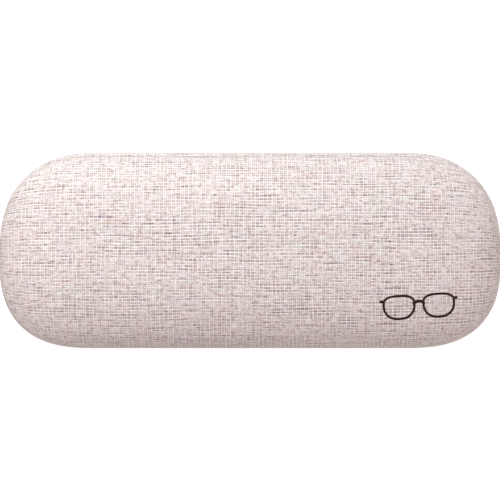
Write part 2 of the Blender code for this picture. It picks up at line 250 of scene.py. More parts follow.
# ---- meshes --------------------------------------------------------------------------------
def new_object(name, mesh):
    obj = bpy.data.objects.new(name, mesh)
    bpy.context.scene.collection.objects.link(obj)
    return obj


def case_frame(half, points):
    out = np.array(points, float)
    out[..., 2] = PART_Z + half["sign"] * out[..., 2]
    return out * MM


def flat_directions():
    """Unit directions, in plan, in which each column leaves the ridge."""
    cx = np.clip(QX, -RIDGE_X, RIDGE_X)
    d = np.stack([QX - cx, QY - RIDGE_Y], -1)
    return cx, d / np.linalg.norm(d, axis=1, keepdims=True)


def closed_piece(name, half, loops, mat):
    """Closed body from rows of points: loops is (rows, columns, 3), crown to crown.

    A UV map in millimetres lays the cloth out flat: from the ridge each column runs
    straight out by its own length along the surface.
    """
    rows, cols = loops.shape[:2]
    steps = np.linalg.norm(np.diff(loops, axis=0), axis=2)
    length = np.concatenate([np.zeros((1, cols)), np.cumsum(steps, axis=0)])
    cx, d = flat_directions()
    u = cx[None, :] + d[None, :, 0] * length
    v = RIDGE_Y + d[None, :, 1] * length
    points = case_frame(half, loops).reshape(-1, 3)
    index = np.arange(rows * cols).reshape(rows, cols)
    a = index[:-1]
    b = index[1:]
    quads = np.stack([a, np.roll(a, -1, 1), np.roll(b, -1, 1), b], -1).reshape(-1, 4)
    mesh = bpy.data.meshes.new(name)
    mesh.from_pydata(points.tolist(), [], quads.tolist())
    layer = mesh.uv_layers.new(name="cloth")
    flat = np.stack([u.reshape(-1), v.reshape(-1)], -1)
    layer.data.foreach_set("uv", flat[quads.reshape(-1)].astype(np.float32).reshape(-1))
    bm = bmesh.new()
    bm.from_mesh(mesh)
    bmesh.ops.remove_doubles(bm, verts=bm.verts, dist=2e-6)
    bmesh.ops.dissolve_degenerate(bm, dist=1e-7, edges=bm.edges)
    bmesh.ops.recalc_face_normals(bm, faces=bm.faces)
    bm.to_mesh(mesh)
    bm.free()
    mesh.polygons.foreach_set("use_smooth", [True] * len(mesh.polygons))
    mesh.materials.append(mat)
    return new_object(name, mesh)


def dome_rows(half, start, inset, count):
    """Rows of a layer from the height start up to the ridge."""
    first = angle_at(half, Q, start, inset)
    rows = []
    for f in np.linspace(0, 1, count):
        rows.append(skin(half, Q, first + (np.pi / 2 - first) * f, np.full(len(Q), inset)))
    if half["flat"] > 0:
        for f in np.linspace(0, 1, 8)[1:]:
            rows.append(skin(half, Q, np.full(len(Q), np.pi / 2 + f), np.full(len(Q), inset)))
    return rows


def band(half, insets, heights):
    """One row of a rim or hem: inset and height may vary from column to column."""
    return at_height(half, Q, np.broadcast_to(heights, Q.shape), np.broadcast_to(insets, Q.shape))


def pleats(amount, pitch):
    """Fine gathers where the hem goes round the corners."""
    wave = np.sin(RUN * 2 * np.pi / pitch) + 0.6 * np.sin(RUN * 2 * np.pi / (pitch * 1.63) + 1)
    return amount * ENDS * wave


def build_cover(name, half, mat):
    """Cloth cover: the outside, over the rim, the hem, then back up inside the cloth."""
    outside, inside = CLOTH_LAYER
    rows = list(reversed(dome_rows(half, RIM + ROLL, outside, 46)))
    for a in np.linspace(0, np.pi / 2, 6)[1:]:
        rows.append(band(half, ROLL - ROLL * math.cos(a), RIM + ROLL - ROLL * math.sin(a)))
    face = np.where(HEM_CUT, CUT_HEM_FACE, HEM_FACE)
    back = np.where(HEM_CUT, CUT_HEM_BACK, HEM_BACK)
    end = np.where(HEM_CUT, RIM + CUT_HEM_END, HEM_END)
    lift = pleats(PLEAT_SIZE, PLEAT_PITCH)
    for f in (0.35, 0.7, 1.0):
        rows.append(band(half, ROLL + (face - HEM_FOLD - ROLL) * f, RIM + HEM_CLEAR + lift * f))
    for a in np.linspace(0, np.pi / 2, 4)[1:]:
        rows.append(band(half, face - HEM_FOLD + HEM_FOLD * math.sin(a),
                         RIM + HEM_CLEAR + HEM_FOLD - HEM_FOLD * math.cos(a) + lift * 0.5))
    for f in (0.3, 0.65, 1.0):
        start = RIM + 0.35
        rows.append(band(half, face + lift * (1 - f) * 1.2, start + (end - start) * f))
    rows.append(band(half, back, end))
    rows.append(band(half, back, RIM + inside))
    rows.append(band(half, inside, RIM + inside))
    rows += dome_rows(half, RIM + inside + ROLL, inside, 20)
    return closed_piece(name, half, np.array(rows), mat)


def build_pile(name, half, mat):
    """Pile lining: visible inner face first, then the lip turned out over the tray."""
    behind, face = PILE_LAYER
    radius = 0.35
    rim = np.where(WINDOW, PILE_WINDOW_TOP, RIM + PILE_EDGE)
    rows = list(reversed(dome_rows(half, rim + radius, face, 36)))
    for a in np.linspace(0, np.pi / 2, 5)[1:]:
        rows.append(band(half, face - radius + radius * math.cos(a),
                         rim + radius - radius * math.sin(a)))
    rows.append(band(half, PILE_LIP + 0.25, rim))
    rows.append(band(half, PILE_LIP, rim + 0.2))
    rows.append(band(half, PILE_LIP, rim + 0.6))
    rows.append(band(half, behind, rim + 0.6))
    rows += dome_rows(half, rim + 1.0, behind, 18)
    return closed_piece(name, half, np.array(rows), mat)


def build_layer(name, half, faces, edge, mat, window_top=None):
    """A pressed or moulded layer between two insets, its rim rounded over."""
    outer, inner = faces
    rim = RIM + edge
    if window_top is not None:
        rim = np.where(WINDOW, window_top, rim)
    radius = (inner - outer) / 2
    rows = list(reversed(dome_rows(half, rim + radius, outer, 26)))
    for a in np.linspace(0, np.pi, 7)[1:-1]:
        rows.append(band(half, outer + radius * (1 - math.cos(a)),
                         rim + radius * (1 - math.sin(a))))
    rows += dome_rows(half, rim + radius, inner, 26)
    return closed_piece(name, half, np.array(rows), mat)


def settle(obj):
    """Apply an object's modifiers, so that what is seen is its own mesh."""
    graph = bpy.context.evaluated_depsgraph_get()
    mesh = bpy.data.meshes.new_from_object(obj.evaluated_get(graph))
    obj.modifiers.clear()
    obj.data = mesh
    return obj


WIRE_SIDES = 10
TURNED_SIDES = 28


def close_rows(bm, rows):
    """Quads between rings of vertices, and a face at each end."""
    count = len(rows[0])
    for a, b in zip(rows, rows[1:]):
        for k in range(count):
            j = (k + 1) % count
            bm.faces.new((a[k], a[j], b[j], b[k]))
    bm.faces.new(list(reversed(rows[0])))
    bm.faces.new(rows[-1])


def sweep(bm, path, radius):
    """Round wire along points in millimetres, its two ends closed."""
    path = [Vector(p) for p in path]
    rows = []
    across = Vector((1, 0, 0))
    for i, p in enumerate(path):
        tangent = (path[min(i + 1, len(path) - 1)] - path[max(i - 1, 0)]).normalized()
        across = (across - tangent * across.dot(tangent)).normalized()
        other = tangent.cross(across)
        row = []
        for k in range(WIRE_SIDES):
            a = 2 * math.pi * k / WIRE_SIDES
            point = p + radius * (math.cos(a) * across + math.sin(a) * other)
            row.append(bm.verts.new(point * MM))
        rows.append(row)
    close_rows(bm, rows)


def lathe(bm, profile, turn):
    """Turned piece: (radius, height) pairs round the Z of turn; both ends closed."""
    rows = []
    for radius, height in profile:
        row = []
        for k in range(TURNED_SIDES):
            a = 2 * math.pi * k / TURNED_SIDES
            point = Vector((radius * math.cos(a), radius * math.sin(a), height))
            row.append(bm.verts.new((turn @ point) * MM))
        rows.append(row)
    close_rows(bm, rows)


def from_bmesh(name, bm, mat, sharp=40.0):
    """Object from a bmesh, shaded smooth but for edges sharper than the given angle."""
    bmesh.ops.recalc_face_normals(bm, faces=bm.faces)
    mesh = bpy.data.meshes.new(name)
    bm.to_mesh(mesh)
    bm.free()
    mesh.shade_smooth()
    mesh.set_sharp_from_angle(angle=math.radians(sharp))
    mesh.materials.append(mat)
    return new_object(name, mesh)


# ---- hinge -----------------------------------------------------------------------------------
LEAF_HALF = 44.0
LEAF_TOP = 7.3
LEAF_MID = 2.95
LEAF_THICK = 0.6
KNUCKLE_MID = 0.9
TAB_CLEAR = 1.6
PIN_R = 0.5
BASE_KNUCKLES = ((4.8, 13.1), (32.0, 44.0))
LID_KNUCKLES = ((-4.5, 4.5), (21.7, 31.7))
RIVET_X = (-36.0, -12.0, 12.0, 36.0)
RIVET_Z = 5.6
RIVET_HEAD = 1.4
RIVET_SHANK = 0.75
SPRING_SPAN = (13.85, 20.95)
SPRING_R = 0.95
SPRING_WIRE = 0.25
SPRING_TURNS = 5


def wall(half, height, inset):
    """Rear wall at the middle of the length, as (y, z) in the case's frame."""
    p = at_height(half, np.array([0.0]), height, inset)[0]
    return float(p[1]), PART_Z + half["sign"] * float(p[2])


def mirrored(spans):
    """The given spans and their mirror images, in order along X."""
    result = []
    for a, b in spans:
        result.append((a, b))
        if a > 0:
            result.append((-b, -a))
    return sorted(result)


def leaf_line(half):
    """Middle of the sheet in (y, z): the plate, the tab, then the roll round the pin."""
    sign = half["sign"]
    plate = [wall(half, h, LEAF_MID) for h in np.linspace(LEAF_TOP, 3.2, 8)]
    tab_y = AXIS_Y - KNUCKLE_MID
    plate += [(tab_y, PART_Z + sign * h) for h in (2.4, TAB_CLEAR)]
    tab = [(tab_y, PART_Z + sign * h) for h in (1.0, 0.5)]
    for a in np.linspace(0, math.radians(306), 26):
        tab.append((AXIS_Y - KNUCKLE_MID * math.cos(a),
                    PART_Z - sign * KNUCKLE_MID * math.sin(a)))
    return plate, tab


def build_leaf(name, half, spans):
    """Sheet-metal leaf: cut flat as a comb, its teeth rolled into knuckles."""
    plate, tab = leaf_line(half)
    spans = mirrored(spans)
    xs = {-LEAF_HALF, LEAF_HALF}
    for a, b in spans:
        xs |= {a, b, (a + b) / 2}
    xs = sorted(xs)
    bm = bmesh.new()
    line = plate + tab
    grid = {}

    def vertex(i, k):
        if (i, k) not in grid:
            y, z = line[k]
            grid[i, k] = bm.verts.new((xs[i] * MM, y * MM, z * MM))
        return grid[i, k]

    for i, (x0, x1) in enumerate(zip(xs, xs[1:])):
        tooth = any(a <= x0 and x1 <= b for a, b in spans)
        last = len(line) if tooth else len(plate)
        for k in range(last - 1):
            bm.faces.new((vertex(i, k), vertex(i + 1, k), vertex(i + 1, k + 1), vertex(i, k + 1)))
    leaf = from_bmesh(name, bm, HINGE_STEEL)
    solid = leaf.modifiers.new("thickness", "SOLIDIFY")
    solid.thickness = LEAF_THICK * MM
    solid.offset = 0
    solid.use_even_offset = True
    edge = leaf.modifiers.new("edge", "BEVEL")
    edge.width = 0.09 * MM
    edge.segments = 2
    edge.limit_method = "ANGLE"
    edge.angle_limit = math.radians(50)
    return settle(leaf)


def rivet_turn(half, x):
    """Frame of a rivet: Z points outward through the shell, square to the wall."""
    y, z = wall(half, RIVET_Z, SHELL_LAYER[1])
    low = wall(half, 4.5, SHELL_LAYER[1])
    high = wall(half, 7.0, SHELL_LAYER[1])
    up = Vector((0, high[0] - low[0], high[1] - low[1])).normalized()
    out = Vector((1, 0, 0)).cross(up)
    if out.y < 0:
        out = -out
    turn = Matrix((up.cross(out), up, out)).transposed().to_4x4()
    return Matrix.Translation(Vector((x, y, z))) @ turn


def build_rivets(prefix, half):
    """Domed head on the leaf, shank through leaf and shell, flattened tail."""
    inner = SHELL_LAYER[1] - LEAF_FACE - 0.02
    outer = SHELL_LAYER[1] - SHELL_LAYER[0] + 0.04
    profile = [(0.02, inner - 0.5)]
    for a in np.linspace(0, np.pi / 2, 9)[1:]:
        profile.append((RIVET_HEAD * math.sin(a), inner - 0.08 - 0.42 * math.cos(a)))
    profile += [(RIVET_HEAD, inner), (RIVET_SHANK, inner), (RIVET_SHANK, outer), (1.25, outer),
                (1.32, outer + 0.1), (1.28, outer + 0.28), (1.1, outer + 0.34),
                (0.3, outer + 0.3)]
    made = []
    for i, x in enumerate(RIVET_X):
        bm = bmesh.new()
        lathe(bm, profile, rivet_turn(half, x))
        made.append(from_bmesh("%s_dome_rivet_%d" % (prefix, i + 1), bm, RIVET_STEEL))
    return made


def build_pin():
    """Pin through all the knuckles, both ends peened over."""
    turn = Matrix.Translation(Vector((0, AXIS_Y, PART_Z))) @ Matrix.Rotation(math.pi / 2, 4, "Y")
    end = LEAF_HALF + 0.15
    head = [(0.3, 0.5), (0.62, 0.46), (0.86, 0.33), (0.95, 0.18), (0.95, 0.0)]
    profile = [(r, -end - h) for r, h in head] + [(PIN_R, -end), (PIN_R, end)]
    profile += [(r, end + h) for r, h in reversed(head)]
    bm = bmesh.new()
    lathe(bm, profile, turn)
    return from_bmesh("peened_pin", bm, PIN_STEEL)


def build_spring(name, side):
    """Torsion spring round the pin: one leg lies on each leaf."""
    start, stop = SPRING_SPAN
    path = []
    for half, x in ((BASE, start), (LID, stop)):
        leg = []
        for height in (6.2, 5.4, 4.6, 3.8, 3.0, 2.2, 1.4, 0.8):
            on_leaf = wall(half, max(height, 3.6), LEAF_FACE)[0] - SPRING_WIRE - 0.12
            share = max(0.0, min(1.0, (2.6 - height) / 2.2))
            y = on_leaf + share * (AXIS_Y - SPRING_R - on_leaf)
            leg.append((side * x, y, PART_Z + half["sign"] * height))
        if half is BASE:
            path += leg
            steps = SPRING_TURNS * 24
            for i in range(1, steps):
                turn = math.pi + 2 * math.pi * SPRING_TURNS * i / steps
                path.append((side * (start + (stop - start) * i / steps),
                             AXIS_Y + SPRING_R * math.cos(turn),
                             PART_Z - SPRING_R * math.sin(turn)))
        else:
            path += reversed(leg)
    bm = bmesh.new()
    sweep(bm, path, SPRING_WIRE)
    return from_bmesh(name, bm, SPRING_STEEL)


# ---- spine: the cloth strip that joins the halves over the hinge ------------------------------
SPINE_RUN = 68.0
SPINE_HEIGHT = 7.3
SPINE_CORNER = 3.0
SPINE_FEATHER = 0.9
SPINE_TAPER = 9.0
SPINE_SUNK = 0.03


def rear_q(run):
    """Contour parameter at a signed length along the rear from its middle, +X positive."""
    dense = np.linspace(0, 2.0, 6001)
    x, y = contour(dense)
    length = np.concatenate([[0], np.cumsum(np.hypot(np.diff(x), np.diff(y)))])
    q = np.interp(np.abs(run), length, dense)
    return np.where(run <= 0, q, 7.0 - q)


def build_spine(mat):
    """Strip glued over both halves; its edges thin out and its corners are rounded."""
    rounding = SPINE_CORNER * (1 - np.cos(np.linspace(0, np.pi / 2, 7)))
    straight = SPINE_RUN - SPINE_CORNER
    run = np.concatenate([-SPINE_RUN + rounding, np.linspace(-straight, straight, 110)[1:-1],
                          SPINE_RUN - rounding[::-1]])
    q = rear_q(run)
    past = np.clip((np.abs(run) - SPINE_RUN + SPINE_CORNER) / SPINE_CORNER, 0, 1)
    tall = SPINE_HEIGHT - SPINE_CORNER * (1 - np.sqrt(1 - past ** 2))
    share = np.concatenate([-1 + 0.55 * (np.linspace(0, 1, 12)) ** 1.4,
                            np.linspace(-0.42, 0.42, 25),
                            1 - 0.55 * (np.linspace(1, 0, 12)) ** 1.4])
    rows = []
    for face in (1, 0):
        for s in (share if face else share[::-1]):
            height = tall * s
            margin = np.minimum((1 - abs(s)) * SPINE_HEIGHT, SPINE_RUN - np.abs(run))
            ends = np.clip((SPINE_RUN - np.abs(run)) / SPINE_TAPER, 0, 1)
            thick = np.clip(margin / SPINE_FEATHER, 0, 1) * (0.25 + 0.75 * ends)
            inset = -(0.10 + 0.34 * thick) if face else np.full_like(run, -SPINE_SUNK)
            row = np.zeros((len(run), 3))
            for half, mask in ((LID, height >= 0), (BASE, height < 0)):
                if mask.any():
                    row[mask] = at_height(half, q[mask], np.abs(height[mask]),
                                          np.broadcast_to(inset, run.shape)[mask])
            row[:, 2] = PART_Z + height
            rows.append(row)
    rows = np.array(rows)
    count, width = rows.shape[:2]
    index = np.arange(count * width).reshape(count, width)
    faces = []
    for k in range(count):
        n = (k + 1) % count
        for i in range(width - 1):
            faces.append((index[k, i], index[k, i + 1], index[n, i + 1], index[n, i]))
    half_count = count // 2
    for k in range(half_count - 1):
        other = count - 1 - k
        for i in (0, width - 1):
            faces.append((index[k, i], index[k + 1, i], index[other - 1, i], index[other, i]))
    mesh = bpy.data.meshes.new("spine_cloth")
    mesh.from_pydata((rows.reshape(-1, 3) * MM).tolist(), [], faces)
    layer = mesh.uv_layers.new(name="cloth")
    u = np.tile(run, count)
    v = (rows[..., 2] - PART_Z).reshape(-1) + 71.0
    loops = np.zeros(len(mesh.loops), int)
    mesh.loops.foreach_get("vertex_index", loops)
    layer.data.foreach_set("uv", np.stack([u, v], -1)[loops].astype(np.float32).reshape(-1))
    bm = bmesh.new()
    bm.from_mesh(mesh)
    bmesh.ops.recalc_face_normals(bm, faces=bm.faces)
    bm.to_mesh(mesh)
    bm.free()
    mesh.shade_smooth()
    mesh.materials.append(mat)
    return new_object("spine_cloth", mesh)


# ---- printed spectacles on the lid ------------------------------------------------------------
PRINT_X = 53.7
PRINT_Y = -17.9
PRINT_TILT = 3.4
PRINT_STROKE = 0.74
PRINT_CELL = 0.12
PRINT_REACH = (13.2, 4.8)
INK_PROUD = 0.035
INK_SUNK = 0.05
LENS = (4.85, 3.65)
LENS_X = 6.35


def strokes():
    """A plain pair of spectacles in lines: two soft-cornered lenses, a bridge, two ends."""
    lines = []
    t = np.linspace(0, 2 * np.pi, 97)
    for side in (-1, 1):
        c = np.cos(t)
        s = np.sin(t)
        power = np.where(s > 0, 2 / 3.2, 2 / 2.2)
        x = LENS[0] * np.sign(c) * np.abs(c) ** (2 / 2.6) * (1 + 0.11 * s)
        y = LENS[1] * np.sign(s) * np.abs(s) ** power
        lines.append((np.stack([side * LENS_X + x, y], -1), 1.0))
        lines.append((np.array([(side * 11.35, 2.1), (side * 12.1, 2.15)]), 1.15))
    a = np.linspace(math.radians(28), math.radians(152), 15)
    lines.append((np.stack([1.75 * np.cos(a), 0.35 + 1.35 * np.sin(a)], -1), 1.3))
    return lines


def ink_distance(x, y, lines):
    """Signed distance to the inked lines, negative inside."""
    best = np.full(x.shape, 1e9)
    for points, weight in lines:
        for (ax, ay), (bx, by) in zip(points, points[1:]):
            dx, dy = bx - ax, by - ay
            t = np.clip(((x - ax) * dx + (y - ay) * dy) / (dx * dx + dy * dy), 0, 1)
            d = np.hypot(x - ax - t * dx, y - ay - t * dy)
            best = np.minimum(best, d - PRINT_STROKE * weight / 2)
    fray = 0.035 * np.sin(x * 9.3 + 1.3 * np.sin(y * 5.1)) * np.sin(y * 8.1 + 0.7)
    return best + fray


def cloth_uv(half, x, y):
    """Flat cloth coordinates of points on the dome, the same as closed_piece lays out."""
    cx = np.clip(x, -RIDGE_X, RIDGE_X)
    dense = np.linspace(0, 7, 7001)[:-1]
    qx, qy = contour(dense)
    qcx = np.clip(qx, -RIDGE_X, RIDGE_X)
    u = np.zeros_like(x)
    v = np.zeros_like(x)
    for i in range(len(x)):
        d = np.array([x[i] - cx[i], y[i] - RIDGE_Y])
        if abs(x[i]) < RIDGE_X:
            side = (qy - RIDGE_Y) * d[1] > 0
            k = np.argmin(np.abs(qx - x[i]) + np.where(side, 0, 1e6))
        else:
            angle = np.arctan2(qy - RIDGE_Y, qx - qcx) - math.atan2(d[1], d[0])
            k = np.argmin(np.abs((angle + np.pi) % (2 * np.pi) - np.pi)
                          + np.where(qcx == cx[i], 0, 1e6))
        full = math.hypot(qx[k] - qcx[k], qy[k] - RIDGE_Y)
        reach = math.hypot(*d)
        a = np.arccos(np.clip(reach / full, 0, 1) ** (half["power"] / 2))
        arc = skin_point(half, np.full(40, dense[k]), np.linspace(a, np.pi / 2, 40))
        length = np.linalg.norm(np.diff(arc, axis=0), axis=1).sum()
        u[i] = cx[i] + d[0] / max(reach, 1e-6) * length
        v[i] = RIDGE_Y + d[1] / max(reach, 1e-6) * length
    return u, v


def build_print(cloth, mat):
    """Ink as a thin closed layer: a grid cut to the strokes, dropped onto the cloth."""
    lines = strokes()
    x, y = np.meshgrid(*(np.arange(-reach, reach + 0.01, PRINT_CELL) for reach in PRINT_REACH))
    mid = ink_distance(x[:-1, :-1] + PRINT_CELL / 2, y[:-1, :-1] + PRINT_CELL / 2, lines)
    inside = mid < 0
    for _ in range(2):
        e = 0.02
        d = ink_distance(x, y, lines)
        gx = (ink_distance(x + e, y, lines) - ink_distance(x - e, y, lines)) / (2 * e)
        gy = (ink_distance(x, y + e, lines) - ink_distance(x, y - e, lines)) / (2 * e)
        near = np.zeros(x.shape, int)
        for a in (0, 1):
            for b in (0, 1):
                near[a:a + inside.shape[0], b:b + inside.shape[1]] += inside
        edge = (near > 0) & (near < 4)
        step = np.clip(d, -PRINT_CELL * 0.6, PRINT_CELL * 0.6) * edge
        x = x - step * gx
        y = y - step * gy
    turn = math.radians(PRINT_TILT)
    px = PRINT_X + x * math.cos(turn) - y * math.sin(turn)
    py = PRINT_Y + x * math.sin(turn) + y * math.cos(turn)
    graph = bpy.context.evaluated_depsgraph_get()
    tree = BVHTree.FromObject(cloth, graph)
    bm = bmesh.new()
    layer = bm.loops.layers.uv.new("cloth")
    used = {}

    def vertex(j, i):
        if (j, i) not in used:
            hit, normal, _, _ = tree.ray_cast(Vector((px[j, i] * MM, py[j, i] * MM, 0.1)),
                                              Vector((0, 0, -1)))
            used[j, i] = (bm.verts.new(hit + normal * INK_PROUD * MM),
                          bm.verts.new(hit - normal * INK_SUNK * MM))
        return used[j, i]

    faces = {}
    for j, i in zip(*np.nonzero(inside)):
        ring = [(j, i), (j, i + 1), (j + 1, i + 1), (j + 1, i)]
        corners = [vertex(*c) for c in ring]
        bm.faces.new([c[0] for c in corners])
        bm.faces.new([c[1] for c in reversed(corners)])
        for a, b in zip(ring, ring[1:] + ring[:1]):
            faces[a, b] = True
    for a, b in list(faces):
        if (b, a) not in faces:
            bm.faces.new((used[b][0], used[a][0], used[a][1], used[b][1]))
    keys = list(used)
    u, v = cloth_uv(LID, np.array([px[k] for k in keys]), np.array([py[k] for k in keys]))
    flat = {}
    for k, uu, vv in zip(keys, u, v):
        flat[used[k][0]] = flat[used[k][1]] = (uu, vv)
    for face in bm.faces:
        for loop in face.loops:
            loop[layer].uv = flat[loop.vert]
    return from_bmesh("lid_print", bm, mat, 60.0)


# ---- node helper ---------------------------------------------------------------------------
class Nodes:
    """Short calls for building a material's node tree."""

    def __init__(self, name):
        self.mat = bpy.data.materials.new(name)
        self.mat.use_nodes = True
        self.tree = self.mat.node_tree
        self.shader = self.tree.nodes["Principled BSDF"]

    def add(self, kind, **values):
        node = self.tree.nodes.new(kind)
        for key, value in values.items():
            setattr(node, key, value)
        return node

    def put(self, socket, value):
        if isinstance(value, bpy.types.NodeSocket):
            self.tree.links.new(value, socket)
        elif value is not None:
            socket.default_value = value

    def math(self, op, a, b=None, c=None):
        node = self.add("ShaderNodeMath", operation=op)
        for socket, value in zip(node.inputs, (a, b, c)):
            self.put(socket, value)
        return node.outputs[0]

    def vector(self, x, y, z):
        node = self.add("ShaderNodeCombineXYZ")
        for socket, value in zip(node.inputs, (x, y, z)):
            self.put(socket, value)
        return node.outputs[0]

    def uv(self):
        node = self.add("ShaderNodeUVMap", uv_map="cloth")
        split = self.add("ShaderNodeSeparateXYZ")
        self.put(split.inputs[0], node.outputs[0])
        return split.outputs[0], split.outputs[1]

    def place(self):
        split = self.add("ShaderNodeSeparateXYZ")
        node = self.add("ShaderNodeTexCoord")
        self.put(split.inputs[0], node.outputs["Object"])
        return node.outputs["Object"], split.outputs

    def noise(self, vector, scale, detail, rough=0.5):
        node = self.add("ShaderNodeTexNoise")
        self.put(node.inputs["Vector"], vector)
        self.put(node.inputs["Scale"], scale)
        self.put(node.inputs["Detail"], detail)
        self.put(node.inputs["Roughness"], rough)
        return node.outputs["Fac"]

    def remap(self, value, a, b, c, d):
        node = self.add("ShaderNodeMapRange")
        for socket, item in zip(node.inputs, (value, a, b, c, d)):
            self.put(socket, item)
        return node.outputs[0]

    def ramp(self, value, stops):
        node = self.add("ShaderNodeValToRGB")
        self.put(node.inputs[0], value)
        ramp = node.color_ramp
        while len(ramp.elements) > 1:
            ramp.elements.remove(ramp.elements[-1])
        ramp.elements[0].position = stops[0][0]
        ramp.elements[0].color = (*stops[0][1], 1)
        for position, colour in stops[1:]:
            item = ramp.elements.new(position)
            item.color = (*colour, 1)
        return node.outputs[0]

    def mix(self, factor, a, b, blend="MIX"):
        node = self.add("ShaderNodeMix", data_type="RGBA", blend_type=blend)
        self.put(node.inputs[0], factor)
        self.put(node.inputs[6], a if isinstance(a, bpy.types.NodeSocket) else (*a, 1))
        self.put(node.inputs[7], b if isinstance(b, bpy.types.NodeSocket) else (*b, 1))
        return node.outputs[2]

    def rgb(self, r, g, b):
        node = self.add("ShaderNodeCombineColor")
        for socket, value in zip(node.inputs, (r, g, b)):
            self.put(socket, value)
        return node.outputs[0]

    def times(self, colour, r, g=None, b=None):
        """A colour multiplied by one number, or by one for each channel."""
        factors = self.rgb(r, r, r) if g is None else self.rgb(r, g, b)
        return self.mix(1.0, colour, factors, "MULTIPLY")

    def bump(self, height, distance, strength):
        node = self.add("ShaderNodeBump")
        self.put(node.inputs["Strength"], strength)
        self.put(node.inputs["Distance"], distance)
        self.put(node.inputs["Height"], height)
        return node.outputs[0]

    def set(self, **values):
        for key, value in values.items():
            self.put(self.shader.inputs[key.replace("_", " ")], value)


def srgb(r, g, b):
    """Linear values of a colour given in display values, 0 to 255."""
    def one(v):
        v /= 255
        return v / 12.92 if v <= 0.04045 else ((v + 0.055) / 1.055) ** 2.4
    return one(r), one(g), one(b)


# ---- materials -----------------------------------------------------------------------------
# Pitches are millimetres from yarn to yarn. A contrast sets thick yarns apart from thin ones;
# a streak or fine pair is a frequency along the yarn, per millimetre, and an amount.
WARP_PITCH = 0.66
WEFT_PITCH = 0.49
WEFT_CONTRAST = 0.045
WEFT_STREAK = (0.08, 0.42)
WEFT_FINE = (0.50, 0.50)
WARP_CONTRAST = 0.02
WARP_STREAK = (0.12, 0.30)
WARP_FINE = (0.55, 0.55)
# Tones at which a yarn turns pale, cream, rose and dark.
WEFT_STOPS = (0.42, 0.50, 0.57, 0.68)
WARP_STOPS = (0.42, 0.52, 0.61, 0.74)
# Heights of the two sets of yarns, and how much a yarn rises where it goes over.
WEFT_HEIGHT = 0.76
WARP_HEIGHT = 0.44
RISE = 0.16
# How far apart two neighbouring yarns lie in the noise that tones them.
YARN_SPREAD = 7.31
# How far red, green and blue each stray from patch to patch.
TINT = (0.028, 0.019, 0.021)
TINT_SEED = 60.0
PALE = srgb(253, 244, 242)
CREAM = srgb(241, 226, 223)
ROSE_WARM = srgb(213, 190, 180)
ROSE_COOL = srgb(205, 186, 186)
RUST = srgb(156, 124, 108)
MAUVE = srgb(138, 120, 120)


